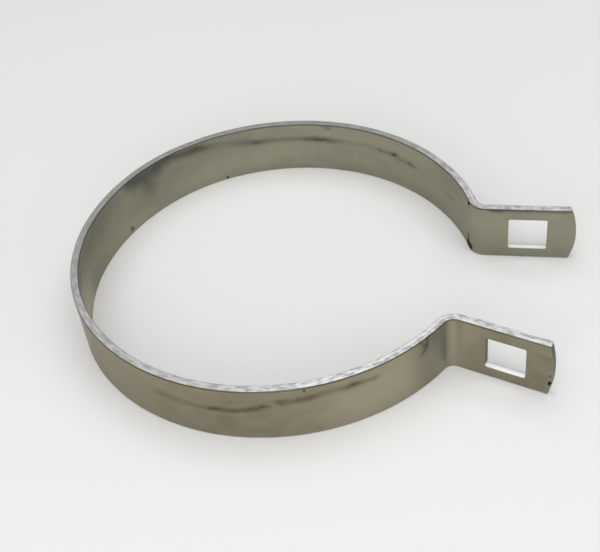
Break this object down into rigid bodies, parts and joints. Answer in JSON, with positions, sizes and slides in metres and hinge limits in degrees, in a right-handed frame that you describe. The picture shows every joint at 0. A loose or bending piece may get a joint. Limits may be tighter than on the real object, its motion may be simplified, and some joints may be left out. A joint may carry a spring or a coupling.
{
  "type": "fence tension band",
  "caption": "Open ring of flat galvanised steel strip that clamps round a fence post, its ends folded out into lugs with oblong bolt holes and rounded tips.",
  "frame": {"origin": "on the ring's axis, at the middle of its bore, halfway up the strip", "axes": "+Z along the ring's axis and the post, +X out through the middle of the opening between the lugs"},
  "size_m": [0.205, 0.1716, 0.0256],
  "materials": {
    "galvanised_steel": "hot-dip galvanised, dull grey with a warm cast, brighter along the edges"
  },
  "bodies": {
    "root": {"band": "galvanised_steel"}
  },
  "joints": []
}
